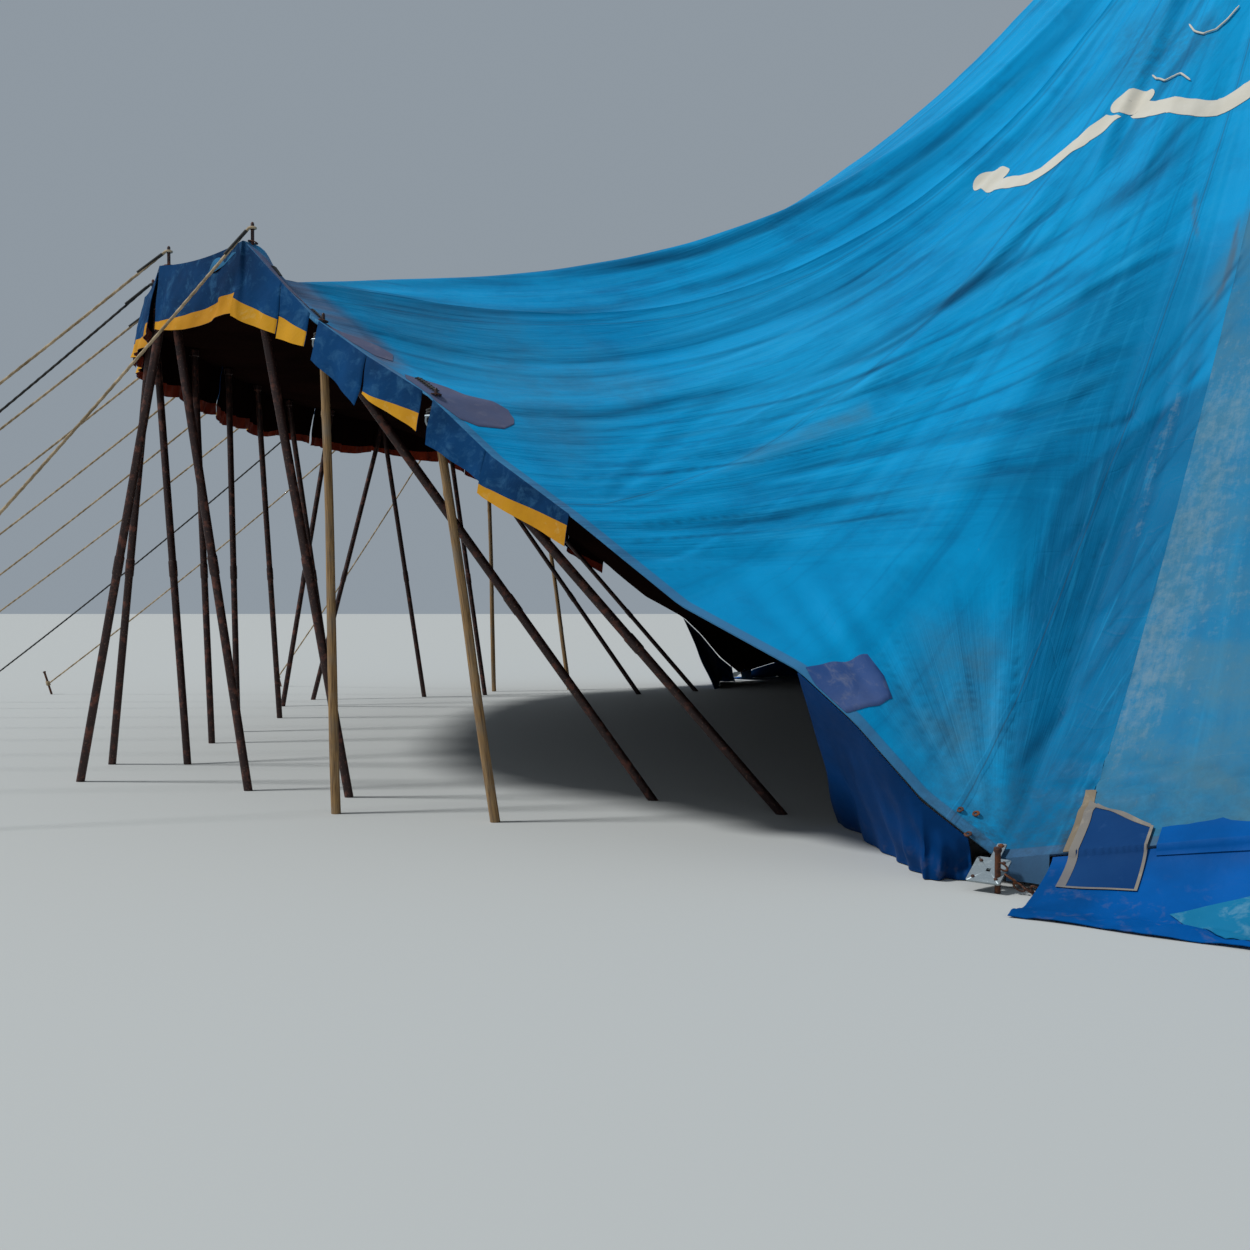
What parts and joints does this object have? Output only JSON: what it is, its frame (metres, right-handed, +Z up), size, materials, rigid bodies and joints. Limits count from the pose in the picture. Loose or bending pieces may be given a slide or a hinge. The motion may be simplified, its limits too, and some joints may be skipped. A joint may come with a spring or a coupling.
{
  "type": "circus big top tent",
  "caption": "Single-mast round tent: blue membrane raised on poles at an open entrance, closed to the ground elsewhere, with guys and corner plates.",
  "frame": {"origin": "centre of the underside of the mast's base plate, on the ground", "axes": "+Z up; the entrance faces -X; +Y is the left side for someone walking in"},
  "size_m": [27.9195, 20.8834, 13],
  "materials": {
    "blue_membrane": "weathered azure coated cloth",
    "royal_cloth": "bright royal blue coated cloth",
    "valance_cloth": "dark weathered blue with yellow and red borders",
    "dark_steel": "dark brown paint with rust",
    "tan_wood": "bare weathered pole",
    "hemp_rope": "twisted rope",
    "galvanised_plate": "grey galvanised steel with rust",
    "galvanised_mast": "dull galvanised tube"
  },
  "bodies": {
    "root": {"king_pole": "galvanised_mast", "crown_ring": "dark_steel", "peak_cap": "blue_membrane", "roof_entrance_lip": "blue_membrane", "roof_side_right": "blue_membrane", "roof_side_left": "blue_membrane", "roof_wall_1": "blue_membrane", "roof_wall_2": "blue_membrane", "roof_wall_3": "blue_membrane", "roof_wall_4": "blue_membrane", "roof_wall_5": "blue_membrane", "roof_wall_6": "blue_membrane", "ground_skirt_1": "royal_cloth", "ground_skirt_2": "royal_cloth", "ground_skirt_3": "royal_cloth", "ground_skirt_4": "royal_cloth", "ground_skirt_5": "royal_cloth", "ground_skirt_6": "royal_cloth", "side_curtain_right": "royal_cloth", "side_curtain_left": "royal_cloth", "valance_front": "valance_cloth", "valance_right": "valance_cloth", "valance_left": "valance_cloth", "lip_pole_middle": "dark_steel", "lip_pole_right_1": "dark_steel", "lip_pole_right_2": "dark_steel", "lip_pole_right_3": "dark_steel", "lip_pole_right_4": "dark_steel", "lip_pole_right_5": "dark_steel", "lip_pole_left_1": "dark_steel", "lip_pole_left_2": "dark_steel", "lip_pole_left_3": "dark_steel", "lip_pole_left_4": "dark_steel", "lip_pole_left_5": "dark_steel", "side_prop_right_1": "tan_wood", "side_prop_right_2": "tan_wood", "side_prop_left_1": "tan_wood", "side_prop_left_2": "tan_wood", "guy_middle": "hemp_rope", "guy_right_1": "hemp_rope", "guy_right_2": "hemp_rope", "guy_right_3": "hemp_rope", "guy_right_4": "hemp_rope", "guy_right_5": "hemp_rope", "guy_left_1": "hemp_rope", "guy_left_2": "hemp_rope", "guy_left_3": "hemp_rope", "guy_left_4": "hemp_rope", "guy_left_5": "hemp_rope", "corner_plate_1": "galvanised_plate", "corner_plate_2": "galvanised_plate", "corner_plate_3": "galvanised_plate", "corner_plate_4": "galvanised_plate", "corner_plate_5": "galvanised_plate", "corner_plate_6": "galvanised_plate", "corner_plate_7": "galvanised_plate"}
  },
  "joints": []
}
